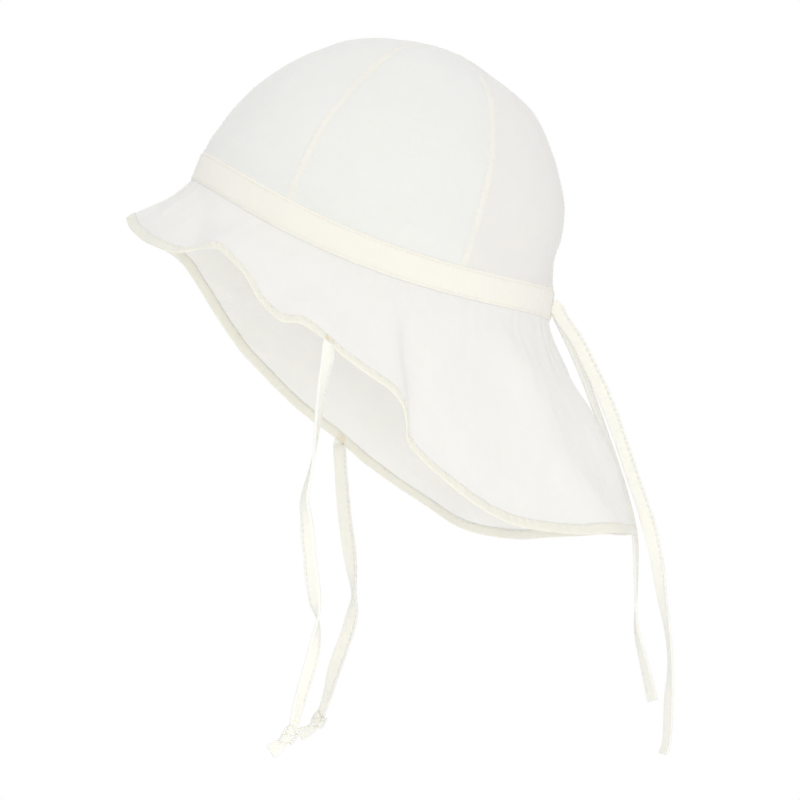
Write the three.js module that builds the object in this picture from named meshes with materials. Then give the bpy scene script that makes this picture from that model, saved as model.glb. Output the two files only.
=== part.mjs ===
// Baby sun hat with a neck flap, in millimetres.
// +Z is up, the front faces -Y and the wearer's left is +X.
// The origin is the middle of the band, where the hat sits on a head.
import * as THREE from 'three';

// Sizes of the hat, measured along its own leaning axis
const TILT = THREE.MathUtils.degToRad(22.3);
const HALF_LENGTH = 83;
const HALF_WIDTH = 71;
const CROWN_HEIGHT = 88;
const CROWN_INSET = 0.6;
const CROWN_WALL = 1.1;
const CROWN_TOP_ANGLE = THREE.MathUtils.degToRad(88.8);
const PANEL_PUFF = 0.9;
const BACK_TUCK = { depth: 4.6, height: 18, reach: 15 };

// Band: a casing that dips over the ears and is gathered at the back
const BAND_HEIGHT = 13.6;
const BAND_WALL = 2.2;
const BAND_DIP = 13;
const BAND_REST = 0.65;
const BAND_PITCH = 1.25;
const GATHER = { depth: 0.45, count: 44, centre: 180, reach: 36 };

// The gathers draw the top of the band in at the back, by depth at its top edge
const BAND_LEAN = { depth: 3.4, centre: 180, reach: 30 };

// Brim and neck flap
const CLOTH_WALL = 1.2;
const HEM_WALL = 2.0;
const HEM_WIDTH = 4.2;
const GAP = 0.3;

// Tapes: flat section with soft edges, as shares of width and thickness
const TAPE_STEP = 8.5;
const TAPE_SECTION = [
  { across: -0.5, through: -0.2 },
  { across: -0.44, through: -0.5 },
  { across: 0.44, through: -0.5 },
  { across: 0.5, through: -0.2 },
  { across: 0.5, through: 0.2 },
  { across: 0.44, through: 0.5 },
  { across: -0.44, through: 0.5 },
  { across: -0.5, through: 0.2 },
];

// Colours of the cloth: one layer is greyer than the folded layers
const CLOTH = '#f1f1ec';
const FOLDED = '#f6f1e0';
const TAPE = '#f5f2e6';

// Seams between crown panels, degrees from the front, at the band and at the top
const SEAMS = [
  { band: 0, top: 0 },
  { band: 63, top: 60 },
  { band: 120, top: 120 },
  { band: 180, top: 180 },
  { band: 240, top: 240 },
  { band: 297, top: 300 },
  { band: 360, top: 360 },
];
const PANELS = ['front_left', 'left', 'back_left', 'back_right', 'right', 'front_right'];

// The neck flap swells outwards halfway down its back
const FLAP_SWELL = { depth: 4.6, centre: 180, reach: 32 };

// Free edge of the brim, seen from the band's lower edge at each angle:
// how far it stands out, how far it slides back along the band, how far it drops
const EDGE = [
  { angle: 0, out: 19.5, along: 0.0, drop: 25.8 },
  { angle: 15, out: 19.0, along: 0.0, drop: 29.7 },
  { angle: 30, out: 20.0, along: 2.2, drop: 32.0 },
  { angle: 40, out: 21.5, along: 4.1, drop: 31.3 },
  { angle: 46, out: 24.0, along: 2.8, drop: 27.7 },
  { angle: 52, out: 27.0, along: 3.4, drop: 21.7 },
  { angle: 58, out: 30.0, along: 4.1, drop: 20.1 },
  { angle: 65, out: 34.0, along: 5.7, drop: 24.7 },
  { angle: 72, out: 37.0, along: 6.7, drop: 33.5 },
  { angle: 78, out: 41.0, along: 5.2, drop: 37.4 },
  { angle: 84, out: 44.0, along: 3.4, drop: 35.4 },
  { angle: 96, out: 47.5, along: 0.0, drop: 41.8 },
  { angle: 106, out: 45.7, along: 0.6, drop: 49.6 },
  { angle: 110, out: 46.5, along: 0.7, drop: 55.5 },
  { angle: 113, out: 51.0, along: 0.2, drop: 63.6 },
  { angle: 118, out: 55.0, along: -1.4, drop: 71.2 },
  { angle: 126, out: 56.5, along: -0.4, drop: 80.1 },
  { angle: 136, out: 57.8, along: 0.2, drop: 85.1 },
  { angle: 150, out: 61.5, along: -2.6, drop: 84.0 },
  { angle: 165, out: 66.5, along: -1.0, drop: 77.4 },
  { angle: 180, out: 72.0, along: 0.0, drop: 69.9 },
  { angle: 208, out: 63.0, along: 2.0, drop: 77.0 },
  { angle: 220, out: 60.0, along: 0.0, drop: 82.2 },
  { angle: 230, out: 55.0, along: -0.8, drop: 83.8 },
  { angle: 241, out: 47.5, along: 0.0, drop: 77.5 },
  { angle: 252, out: 35.0, along: 0.7, drop: 70.7 },
  { angle: 262, out: 27.5, along: 0.7, drop: 62.8 },
  { angle: 274, out: 23.5, along: 1.2, drop: 56.0 },
  { angle: 288, out: 20.5, along: 2.0, drop: 46.6 },
  { angle: 300, out: 20.0, along: 2.5, drop: 36.9 },
  { angle: 308, out: 20.5, along: 2.9, drop: 30.2 },
  { angle: 317, out: 23.0, along: 3.0, drop: 23.5 },
  { angle: 330, out: 22.5, along: 0.8, drop: 24.2 },
  { angle: 345, out: 20.5, along: 0.0, drop: 25.6 },
];

// Soft folds of the brim: angle at the band and at the edge, where it starts down
// the cloth (0 to 1), its height (valleys are negative) and its half width in degrees
const FOLDS = [
  { top: 31, edge: 51, start: 0.05, height: -2.2, reach: 4.5 },
  { top: 137.5, edge: 164, start: -0.2, height: 4.4, reach: 7.5 },
  { top: 151, edge: 178, start: 0.1, height: -1.3, reach: 5 },
  { top: 222, edge: 199, start: 0.1, height: 2.2, reach: 10 },
  { top: 283, edge: 291, start: 0.35, height: -1.5, reach: 3.5 },
  { top: 256, edge: 250, start: 0.3, height: 1.4, reach: 5 },
];

// Share of the cloth's depth under the band over which the folds rise
const FOLD_FOOT = 0.14;

// The pressed fold on the left: the cloth steps in going backwards, and its valley lies behind the step
const PLEAT = { top: 103.3, edge: 111.3, start: 0.15, step: -2.0, sink: 1.4, reach: 9, width: 1.3 };

// Column spacing round the brim in degrees, finer where it is folded
const SPANS = [
  { to: 36, step: 4 },
  { to: 60, step: 2 },
  { to: 102, step: 3 },
  { to: 117, step: 1.25 },
  { to: 186, step: 3 },
  { to: 276, step: 3.6 },
  { to: 300, step: 3 },
  { to: 360, step: 3.75 },
];

// Routes of the tapes: turn is the twist in degrees, 0 shows the flat side from
// the left; wide and thick are section sizes, larger at the end knots
const ROUTES = {
  tie_chin_left: [
    { x: 112.8, y: -19.1, z: -53.8, turn: -12, wide: 6.0, thick: 1.0 },
    { x: 116.6, y: -20.2, z: -57.1, turn: -12, wide: 6.0, thick: 1.0 },
    { x: 117.6, y: -19.4, z: -61.0, turn: -26, wide: 6.0, thick: 1.0 },
    { x: 117.0, y: -21.1, z: -70.1, turn: -46, wide: 6.0, thick: 1.0 },
    { x: 116.0, y: -23.4, z: -86.8, turn: -70, wide: 6.0, thick: 1.0 },
    { x: 115.0, y: -25.4, z: -103.4, turn: -94, wide: 6.0, thick: 1.0 },
    { x: 114.0, y: -28.9, z: -119.2, turn: -120, wide: 6.0, thick: 1.0 },
    { x: 114.0, y: -28.3, z: -126.8, turn: -142, wide: 6.0, thick: 1.0 },
    { x: 114.0, y: -27.5, z: -136.8, turn: -164, wide: 6.0, thick: 1.0 },
    { x: 113.8, y: -25.6, z: -154.3, turn: -162, wide: 6.0, thick: 1.0 },
    { x: 113.5, y: -24.6, z: -162.6, turn: -140, wide: 6.0, thick: 1.0 },
    { x: 113.2, y: -23.4, z: -169.7, turn: -92, wide: 6.0, thick: 1.0 },
    { x: 113.0, y: -24.1, z: -177.2, turn: -55, wide: 6.0, thick: 1.0 },
    { x: 112.6, y: -25.4, z: -184.7, turn: -30, wide: 6.0, thick: 1.0 },
    { x: 112.2, y: -27.3, z: -191.7, turn: -18, wide: 6.0, thick: 1.0 },
    { x: 111.5, y: -31.2, z: -205.0, turn: -44, wide: 6.0, thick: 1.0 },
    { x: 111.2, y: -32.5, z: -210.4, turn: -40, wide: 5.2, thick: 1.3 },
    { x: 111.0, y: -33.5, z: -214.6, turn: -30, wide: 4.4, thick: 2.4 },
    { x: 111.0, y: -35.2, z: -218.3, turn: -25, wide: 7.2, thick: 4.6 },
    { x: 111.2, y: -37.5, z: -220.8, turn: -20, wide: 4.8, thick: 2.2 },
    { x: 111.6, y: -39.9, z: -222.9, turn: -15, wide: 5.6, thick: 1.2 },
    { x: 112.0, y: -43.1, z: -225.0, turn: -10, wide: 6.2, thick: 1.0 },
  ],
  tie_chin_right: [
    { x: -94.1, y: -15.1, z: -79.0, turn: 0, wide: 6.0, thick: 1.0 },
    { x: -96.4, y: -16.9, z: -83.9, turn: 0, wide: 6.0, thick: 1.0 },
    { x: -97.2, y: -16.2, z: -86.4, turn: 4, wide: 6.0, thick: 1.0 },
    { x: -97.0, y: -15.3, z: -99.4, turn: 4, wide: 6.0, thick: 1.0 },
    { x: -96.8, y: -13.7, z: -117.4, turn: 0, wide: 6.0, thick: 1.0 },
    { x: -96.5, y: -12.4, z: -126.8, turn: 8, wide: 6.0, thick: 1.0 },
    { x: -96.2, y: -11.2, z: -135.8, turn: 30, wide: 6.0, thick: 1.0 },
    { x: -96.0, y: -10.2, z: -144.3, turn: 58, wide: 6.0, thick: 1.0 },
    { x: -96.0, y: -9.7, z: -151.4, turn: 74, wide: 6.0, thick: 1.0 },
    { x: -95.8, y: -10.2, z: -158.1, turn: 38, wide: 6.0, thick: 1.0 },
    { x: -95.6, y: -11.9, z: -165.3, turn: 8, wide: 6.0, thick: 1.0 },
    { x: -95.3, y: -14.3, z: -172.5, turn: 0, wide: 6.0, thick: 1.0 },
    { x: -95.0, y: -16.7, z: -179.2, turn: 8, wide: 6.0, thick: 1.0 },
    { x: -94.6, y: -19.0, z: -186.3, turn: 26, wide: 6.0, thick: 1.0 },
    { x: -94.2, y: -20.8, z: -193.5, turn: 42, wide: 6.0, thick: 1.0 },
    { x: -94.0, y: -22.6, z: -199.3, turn: 40, wide: 5.0, thick: 1.4 },
    { x: -93.8, y: -24.2, z: -203.3, turn: 30, wide: 4.4, thick: 2.4 },
    { x: -93.6, y: -25.5, z: -207.3, turn: 20, wide: 7.2, thick: 4.6 },
    { x: -93.6, y: -28.2, z: -210.4, turn: 10, wide: 4.8, thick: 2.2 },
    { x: -93.8, y: -30.9, z: -212.0, turn: 5, wide: 5.6, thick: 1.2 },
    { x: -94.0, y: -34.0, z: -213.3, turn: 0, wide: 6.2, thick: 1.0 },
  ],
  tie_back_left: [
    { x: 4.5, y: 78.05, z: -30.95, turn: 0, wide: 6.0, thick: 1.0 },
    { x: 4.6, y: 79.6, z: -31.7, turn: 0, wide: 6.0, thick: 1.0 },
    { x: 4.7, y: 81.2, z: -35.2, turn: 0, wide: 6.0, thick: 1.0 },
    { x: 5.0, y: 87.8, z: -45.0, turn: 0, wide: 6.0, thick: 1.0 },
    { x: 5.4, y: 93.0, z: -55.5, turn: 0, wide: 6.0, thick: 1.0 },
    { x: 5.8, y: 98.4, z: -66.8, turn: 0, wide: 6.0, thick: 1.0 },
    { x: 6.0, y: 103.1, z: -78.5, turn: 0, wide: 6.0, thick: 1.0 },
    { x: 6.0, y: 107.6, z: -91.6, turn: 0, wide: 6.0, thick: 1.0 },
    { x: 6.0, y: 111.9, z: -104.6, turn: 0, wide: 6.0, thick: 1.0 },
    { x: 6.0, y: 116.6, z: -118.4, turn: 0, wide: 6.0, thick: 1.0 },
    { x: 6.0, y: 120.1, z: -131.4, turn: 6, wide: 6.0, thick: 1.0 },
    { x: 6.0, y: 122.5, z: -143.5, turn: 26, wide: 6.0, thick: 1.0 },
    { x: 6.0, y: 124.4, z: -157.4, turn: 50, wide: 6.0, thick: 1.0 },
    { x: 6.0, y: 126.7, z: -171.2, turn: 72, wide: 6.0, thick: 1.0 },
    { x: 5.8, y: 127.7, z: -185.5, turn: 76, wide: 6.0, thick: 1.0 },
    { x: 5.4, y: 126.9, z: -201.4, turn: 56, wide: 6.0, thick: 1.0 },
    { x: 5.0, y: 126.1, z: -217.8, turn: 56, wide: 6.0, thick: 1.0 },
    { x: 5.0, y: 124.4, z: -223.9, turn: 58, wide: 6.0, thick: 1.0 },
  ],
  tie_back_right: [
    { x: -4.5, y: 78.05, z: -30.95, turn: 0, wide: 6.0, thick: 1.0 },
    { x: -4.8, y: 79.6, z: -31.7, turn: -2, wide: 6.0, thick: 1.0 },
    { x: -5.6, y: 80.9, z: -34.9, turn: -6, wide: 6.0, thick: 1.0 },
    { x: -8.8, y: 86.2, z: -46.5, turn: -36, wide: 6.0, thick: 1.0 },
    { x: -12.3, y: 91.1, z: -59.0, turn: -56, wide: 6.0, thick: 1.0 },
    { x: -15.9, y: 95.9, z: -71.8, turn: -62, wide: 6.0, thick: 1.0 },
    { x: -19.4, y: 100.8, z: -84.7, turn: -64, wide: 6.0, thick: 1.0 },
    { x: -22.9, y: 105.7, z: -98.5, turn: -66, wide: 6.0, thick: 1.0 },
    { x: -26.5, y: 110.4, z: -113.2, turn: -68, wide: 6.0, thick: 1.0 },
    { x: -29.4, y: 113.6, z: -127.9, turn: -70, wide: 6.0, thick: 1.0 },
    { x: -30.0, y: 114.1, z: -143.7, turn: -76, wide: 6.0, thick: 1.0 },
    { x: -30.0, y: 114.0, z: -160.3, turn: -90, wide: 6.0, thick: 1.0 },
    { x: -30.0, y: 114.2, z: -167.3, turn: -102, wide: 6.0, thick: 1.0 },
    { x: -30.0, y: 115.4, z: -174.3, turn: -112, wide: 6.0, thick: 1.0 },
    { x: -30.0, y: 118.5, z: -187.4, turn: -126, wide: 6.0, thick: 1.0 },
    { x: -30.0, y: 121.2, z: -200.1, turn: -134, wide: 6.0, thick: 1.0 },
  ],
};

// Small helpers
const rad = THREE.MathUtils.degToRad;
const clamp01 = (v) => Math.min(1, Math.max(0, v));
const smooth = (v) => {
  const c = clamp01(v);
  return c * c * (3 - 2 * c);
};
const bump = (v) => Math.exp(-v * v);

// The hat's own axes in the upright frame: back along the band, left, up the crown
const BACK = new THREE.Vector3(0, Math.cos(TILT), -Math.sin(TILT));
const LEFT = new THREE.Vector3(1, 0, 0);
const UP = new THREE.Vector3(0, Math.sin(TILT), Math.cos(TILT));

function place(back, left, up) {
  return new THREE.Vector3()
    .addScaledVector(BACK, back)
    .addScaledVector(LEFT, left)
    .addScaledVector(UP, up);
}

// Height of the middle of the band at an angle from the front
function bandLift(angle) {
  const c = Math.cos(rad(angle));
  const s = Math.sin(rad(angle));
  return BAND_REST - BAND_PITCH * c - BAND_DIP * s * s;
}

// Outward direction of the oval band in its own plane
function bandNormal(angle) {
  const n = new THREE.Vector2(-Math.cos(rad(angle)) / HALF_LENGTH, Math.sin(rad(angle)) / HALF_WIDTH);
  return n.normalize();
}

// Signed difference between two angles, in degrees
function turnFrom(angle, centre) {
  return ((angle - centre + 540) % 360) - 180;
}

// A closed body from a grid of stations: each gives an outer and an inner point
function bodyFromGrid(outer, inner, closed) {
  const columns = outer.length;
  const rows = outer[0].length;
  const points = [];
  for (const grid of [outer, inner]) {
    for (const column of grid) {
      points.push(...column);
    }
  }
  const at = (side, i, j) => side * columns * rows + (i % columns) * rows + j;
  const faces = [];
  const quad = (a, b, c, d) => faces.push(a, b, c, a, c, d);
  const last = closed ? columns : columns - 1;
  for (let i = 0; i < last; i += 1) {
    for (let j = 0; j < rows - 1; j += 1) {
      quad(at(0, i, j), at(0, i + 1, j), at(0, i + 1, j + 1), at(0, i, j + 1));
      quad(at(1, i, j), at(1, i, j + 1), at(1, i + 1, j + 1), at(1, i + 1, j));
    }
    quad(at(0, i + 1, 0), at(0, i, 0), at(1, i, 0), at(1, i + 1, 0));
    quad(at(0, i, rows - 1), at(0, i + 1, rows - 1), at(1, i + 1, rows - 1), at(1, i, rows - 1));
  }
  if (!closed) {
    const e = columns - 1;
    for (let j = 0; j < rows - 1; j += 1) {
      quad(at(0, 0, j), at(0, 0, j + 1), at(1, 0, j + 1), at(1, 0, j));
      quad(at(0, e, j + 1), at(0, e, j), at(1, e, j), at(1, e, j + 1));
    }
  }
  return closedGeometry(points, faces);
}

// Turns points and faces into a geometry whose faces look outwards
function closedGeometry(points, faces) {
  let volume = 0;
  for (let k = 0; k < faces.length; k += 3) {
    const [a, b, c] = [points[faces[k]], points[faces[k + 1]], points[faces[k + 2]]];
    volume += a.dot(new THREE.Vector3().crossVectors(b, c));
  }
  if (volume < 0) {
    for (let k = 0; k < faces.length; k += 3) {
      [faces[k + 1], faces[k + 2]] = [faces[k + 2], faces[k + 1]];
    }
  }
  const geometry = new THREE.BufferGeometry().setFromPoints(points);
  geometry.setIndex(faces);
  geometry.computeVertexNormals();
  return geometry;
}

function named(name, geometry, colour) {
  const material = new THREE.MeshStandardMaterial({ color: colour, roughness: 0.9, metalness: 0 });
  const mesh = new THREE.Mesh(geometry, material);
  mesh.name = name;
  return mesh;
}

// Crown surface: angle round the hat and slope angle up from its widest line
function crownPoint(angle, slope, share) {
  const c = Math.cos(rad(angle));
  const s = Math.sin(rad(angle));
  const ring = slope > 0 ? Math.cos(slope) : 1;
  const up = slope > 0 ? CROWN_HEIGHT * Math.sin(slope) : CROWN_HEIGHT * slope;
  const puff = PANEL_PUFF * Math.sin(Math.PI * share) * Math.sin(Math.PI * clamp01((slope + 0.1) / 1.7));
  const height = (up - BACK_TUCK.height) / BACK_TUCK.reach;
  const tuck = BACK_TUCK.depth * bump(height) * Math.max(0, -c) ** 3;
  const grow = puff - tuck - CROWN_INSET;
  const out = new THREE.Vector3((-c * ring) / HALF_LENGTH, (s * ring) / HALF_WIDTH, Math.max(0, up) / CROWN_HEIGHT ** 2);
  out.normalize();
  return {
    back: -HALF_LENGTH * ring * c + out.x * grow,
    left: HALF_WIDTH * ring * s + out.y * grow,
    up: up + out.z * (grow + tuck),
    out,
  };
}

function crownPanel(index) {
  const columnCount = 9;
  const rowCount = 13;
  const from = SEAMS[index];
  const to = SEAMS[index + 1];
  const outer = [];
  const inner = [];
  for (let i = 0; i < columnCount; i += 1) {
    const share = i / (columnCount - 1);
    const outerColumn = [];
    const innerColumn = [];
    for (let j = 0; j < rowCount; j += 1) {
      const t = j / (rowCount - 1);
      const first = THREE.MathUtils.lerp(from.band, from.top, t);
      const final = THREE.MathUtils.lerp(to.band, to.top, t);
      const plain = THREE.MathUtils.lerp(first, final, share);
      const foot = (bandLift(plain) + BAND_HEIGHT / 2 + GAP) / CROWN_HEIGHT;
      const low = foot > 0 ? Math.asin(foot) : foot;
      const slope = THREE.MathUtils.lerp(low, CROWN_TOP_ANGLE, t);
      const radius = HALF_WIDTH * (slope > 0 ? Math.cos(slope) : 1);
      const trim = THREE.MathUtils.radToDeg(GAP / 2 / radius);
      const angle = THREE.MathUtils.lerp(first + trim, final - trim, share);
      const p = crownPoint(angle, slope, share);
      const half = CROWN_WALL / 2;
      outerColumn.push(place(p.back + p.out.x * half, p.left + p.out.y * half, p.up + p.out.z * half));
      innerColumn.push(place(p.back - p.out.x * half, p.left - p.out.y * half, p.up - p.out.z * half));
    }
    outer.push(outerColumn);
    inner.push(innerColumn);
  }
  return bodyFromGrid(outer, inner, false);
}

// Band: straight walls with soft gathers at the back
function bandBody() {
  const columnCount = 144;
  const outer = [];
  const inner = [];
  for (let i = 0; i < columnCount; i += 1) {
    const angle = (360 * i) / columnCount;
    const n = bandNormal(angle);
    const share = bump(turnFrom(angle, GATHER.centre) / GATHER.reach);
    const wave = GATHER.depth * share * Math.sin(rad(angle * GATHER.count));
    const back = -HALF_LENGTH * Math.cos(rad(angle)) + n.x * wave;
    const left = HALF_WIDTH * Math.sin(rad(angle)) + n.y * wave;
    const lift = bandLift(angle);
    const half = BAND_WALL / 2;
    const tall = BAND_HEIGHT / 2;
    const lean = BAND_LEAN.depth * bump(turnFrom(angle, BAND_LEAN.centre) / BAND_LEAN.reach);
    const at = (side, up) => {
      const reach = side - (lean * (up + tall)) / BAND_HEIGHT;
      return place(back + n.x * reach, left + n.y * reach, lift + up);
    };
    outer.push([at(half, -tall), at(half, tall)]);
    inner.push([at(-half, -tall), at(-half, tall)]);
  }
  return bodyFromGrid(outer, inner, true);
}

// Smooth reading of the edge table all the way round
function edgeAt(angle) {
  const a = ((angle % 360) + 360) % 360;
  const count = EDGE.length;
  let k = count - 1;
  while (EDGE[k].angle > a) {
    k -= 1;
  }
  const row = (n) => {
    const turns = Math.floor(n / count);
    const found = EDGE[n - turns * count];
    return { ...found, angle: found.angle + 360 * turns };
  };
  const [p, q, r, s] = [row(k - 1), row(k), row(k + 1), row(k + 2)];
  const span = r.angle - q.angle;
  const t = (a - q.angle) / span;
  const read = (key) => {
    const inSlope = ((r[key] - p[key]) / (r.angle - p.angle)) * span;
    const outSlope = ((s[key] - q[key]) / (s.angle - q.angle)) * span;
    const t2 = t * t;
    const t3 = t2 * t;
    return (
      (2 * t3 - 3 * t2 + 1) * q[key] +
      (t3 - 2 * t2 + t) * inSlope +
      (3 * t2 - 2 * t3) * r[key] +
      (t3 - t2) * outSlope
    );
  };
  return { out: read('out'), along: read('along'), drop: read('drop') };
}

// Height of the folds above the plain surface of the brim
function foldHeight(angle, s) {
  let height = 0;
  for (const fold of FOLDS) {
    const line = THREE.MathUtils.lerp(fold.top, fold.edge, s);
    const fade = smooth((s - fold.start) / (1 - fold.start)) ** 0.6 * smooth(s / FOLD_FOOT);
    height += fold.height * fade * bump(turnFrom(angle, line) / fold.reach);
  }
  const line = THREE.MathUtils.lerp(PLEAT.top, PLEAT.edge, s);
  const side = turnFrom(angle, line);
  const fade = smooth((s - PLEAT.start) / 0.35);
  const step = PLEAT.step * Math.tanh(side / PLEAT.width) - PLEAT.sink;
  return height + fade * step * bump(side / PLEAT.reach);
}

// Middle surface of the brim without folds; s runs from the band to the edge
function brimPlain(angle, s) {
  const edge = edgeAt(angle);
  const n = bandNormal(angle);
  const rest = 1 - s;
  const swell = FLAP_SWELL.depth * bump(turnFrom(angle, FLAP_SWELL.centre) / FLAP_SWELL.reach);
  const out = edge.out * s * (1 - 0.3 * rest ** 3) + swell * (4 * s * rest) ** 2;
  const along = edge.along * s * s;
  const drop = edge.drop * s;
  const back = -HALF_LENGTH * Math.cos(rad(angle)) + n.x * out + n.y * along;
  const left = HALF_WIDTH * Math.sin(rad(angle)) + n.y * out - n.x * along;
  const up = bandLift(angle) - BAND_HEIGHT / 2 - GAP - drop;
  return place(back, left, up);
}

function normalOf(surface, angle, s) {
  const da = 0.4;
  const ds = 0.01;
  const alongBand = surface(angle + da, s).sub(surface(angle - da, s));
  const lower = Math.min(1, s + ds);
  const upper = Math.max(0, s - ds);
  const down = surface(angle, lower).sub(surface(angle, upper));
  return new THREE.Vector3().crossVectors(down, alongBand).normalize();
}

function brimPoint(angle, s) {
  const point = brimPlain(angle, s);
  return point.addScaledVector(normalOf(brimPlain, angle, s), foldHeight(angle, s));
}

// Outward direction: level at the band so the cloth meets it squarely
function brimOut(angle, s) {
  const n = bandNormal(angle);
  const level = place(n.x, n.y, 0);
  const free = normalOf(brimPoint, angle, s);
  return level.lerp(free, smooth(s / 0.12)).normalize();
}

function brimBody() {
  const angles = [];
  let angle = 0;
  for (const span of SPANS) {
    while (angle < span.to - 0.001) {
      angles.push(angle);
      angle += span.step;
    }
  }
  const shares = [0, 0.1, 0.22, 0.34, 0.46, 0.58, 0.7, 0.82, 0.92, 1];
  const outer = [];
  const inner = [];
  for (const a of angles) {
    const edge = edgeAt(a);
    const length = Math.hypot(edge.out, edge.along, edge.drop);
    const hemStart = 1 - HEM_WIDTH / length;
    const stations = shares.map((share) => ({ s: share * (hemStart - 0.006), wall: CLOTH_WALL }));
    stations.push({ s: hemStart, wall: HEM_WALL }, { s: 1, wall: HEM_WALL });
    const outerColumn = [];
    const innerColumn = [];
    for (const station of stations) {
      const point = brimPoint(a, station.s);
      const out = brimOut(a, station.s);
      outerColumn.push(point.clone().addScaledVector(out, station.wall / 2));
      innerColumn.push(point.clone().addScaledVector(out, -station.wall / 2));
    }
    outer.push(outerColumn);
    inner.push(innerColumn);
  }
  return bodyFromGrid(outer, inner, true);
}

// Cubic reading between rows q and r with their neighbours p and s
function between(p, q, r, s, t) {
  const t2 = t * t;
  const t3 = t2 * t;
  return 0.5 * (2 * q + (r - p) * t + (2 * p - 5 * q + 4 * r - s) * t2 + (3 * q - p - 3 * r + s) * t3);
}

// Tape: a flat section carried along its route with its twist
function tapeBody(route) {
  const stations = [];
  const keys = ['x', 'y', 'z', 'turn', 'wide', 'thick'];
  for (let k = 0; k < route.length - 1; k += 1) {
    const q = route[k];
    const r = route[k + 1];
    const p = route[Math.max(0, k - 1)];
    const s = route[Math.min(route.length - 1, k + 2)];
    const steps = Math.ceil(Math.hypot(r.x - q.x, r.y - q.y, r.z - q.z) / TAPE_STEP);
    for (let n = 0; n < steps; n += 1) {
      const row = {};
      keys.forEach((key) => {
        row[key] = between(p[key], q[key], r[key], s[key], n / steps);
      });
      stations.push(row);
    }
  }
  stations.push(route[route.length - 1]);
  const centres = stations.map((row) => new THREE.Vector3(row.x, row.y, row.z));
  const points = [];
  const faces = [];
  const sides = TAPE_SECTION.length;
  stations.forEach((row, i) => {
    const ahead = centres[Math.min(i + 1, centres.length - 1)];
    const behind = centres[Math.max(i - 1, 0)];
    const along = ahead.clone().sub(behind).normalize();
    const level = new THREE.Vector3().crossVectors(LEFT, along).normalize();
    const side = new THREE.Vector3().crossVectors(along, level);
    const across = level.multiplyScalar(Math.cos(rad(row.turn))).addScaledVector(side, Math.sin(rad(row.turn)));
    const through = new THREE.Vector3().crossVectors(along, across);
    for (const corner of TAPE_SECTION) {
      const point = centres[i].clone().addScaledVector(across, corner.across * row.wide);
      points.push(point.addScaledVector(through, corner.through * row.thick));
    }
  });
  for (let i = 0; i < stations.length - 1; i += 1) {
    for (let n = 0; n < sides; n += 1) {
      const a = i * sides + n;
      const b = i * sides + ((n + 1) % sides);
      faces.push(a, b, b + sides, a, b + sides, a + sides);
    }
  }
  const end = (stations.length - 1) * sides;
  for (let n = 1; n < sides - 1; n += 1) {
    faces.push(0, n + 1, n, end, end + n, end + n + 1);
  }
  return closedGeometry(points, faces);
}

const group = new THREE.Group();
group.name = 'sun_hat';
PANELS.forEach((panel, index) => {
  group.add(named(`crown_panel_${panel}`, crownPanel(index), CLOTH));
});
group.add(named('band', bandBody(), FOLDED));
group.add(named('brim', brimBody(), CLOTH));
for (const [name, route] of Object.entries(ROUTES)) {
  group.add(named(name, tapeBody(route), TAPE));
}

export default group;
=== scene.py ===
# Looks of the baby sun hat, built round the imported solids. Sizes are in millimetres
# in the tables and turned into metres where a mesh is made.
import bpy
import math
import numpy as np
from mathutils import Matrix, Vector


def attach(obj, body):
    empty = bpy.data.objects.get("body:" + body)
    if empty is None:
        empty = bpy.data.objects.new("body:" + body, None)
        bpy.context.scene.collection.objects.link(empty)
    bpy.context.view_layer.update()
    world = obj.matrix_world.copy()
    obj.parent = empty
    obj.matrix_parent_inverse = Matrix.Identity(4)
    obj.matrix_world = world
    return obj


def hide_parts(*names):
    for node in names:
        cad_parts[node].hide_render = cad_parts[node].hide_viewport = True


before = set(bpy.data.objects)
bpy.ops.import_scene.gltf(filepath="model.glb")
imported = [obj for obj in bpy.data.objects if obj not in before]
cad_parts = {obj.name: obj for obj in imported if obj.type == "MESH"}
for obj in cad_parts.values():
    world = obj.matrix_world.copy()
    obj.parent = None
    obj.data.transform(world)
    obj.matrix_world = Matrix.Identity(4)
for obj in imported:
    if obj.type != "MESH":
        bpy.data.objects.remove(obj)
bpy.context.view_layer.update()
MM = 0.001

# Camera at the photograph's viewing angle, all in millimetres and degrees
CAMERA = {
    "centre": (0.0, 10.85, -70.3), "distance": 3000.0, "elevation": -4.0,
    "half_frame": 173.6, "sensor": 36.0,
}
# Nearest and farthest that it sees, in metres
SEEN_FROM, SEEN_TO = 0.05, 60


def make_camera():
    data = bpy.data.cameras.new("camera")
    data.sensor_width = CAMERA["sensor"]
    data.lens = CAMERA["sensor"] * CAMERA["distance"] / (2 * CAMERA["half_frame"])
    lift = math.radians(CAMERA["elevation"])
    back = Vector((math.cos(lift), 0, math.sin(lift)))
    camera = bpy.data.objects.new("camera", data)
    camera.location = (Vector(CAMERA["centre"]) + back * CAMERA["distance"]) * MM
    camera.rotation_mode = "QUATERNION"
    camera.rotation_quaternion = (-back).to_track_quat("-Z", "Y")
    data.clip_start = SEEN_FROM
    data.clip_end = SEEN_TO
    bpy.context.scene.collection.objects.link(camera)
    bpy.context.scene.camera = camera


make_camera()

# Small helpers


def lerp(a, b, t):
    return a + (b - a) * t


def smooth(v):
    c = np.clip(v, 0, 1)
    return c * c * (3 - 2 * c)


def bump(v):
    return np.exp(-np.square(v))


def unit(v):
    return v / np.maximum(np.linalg.norm(v, axis=-1, keepdims=True), 1e-12)


def at_least(least, share):
    """A share squeezed into the range from least to 1."""
    return least + (1 - least) * share


def turn_from(angle, centre):
    """Degrees from the centre, between -180 and 180."""
    return (angle - centre + 540) % 360 - 180


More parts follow.
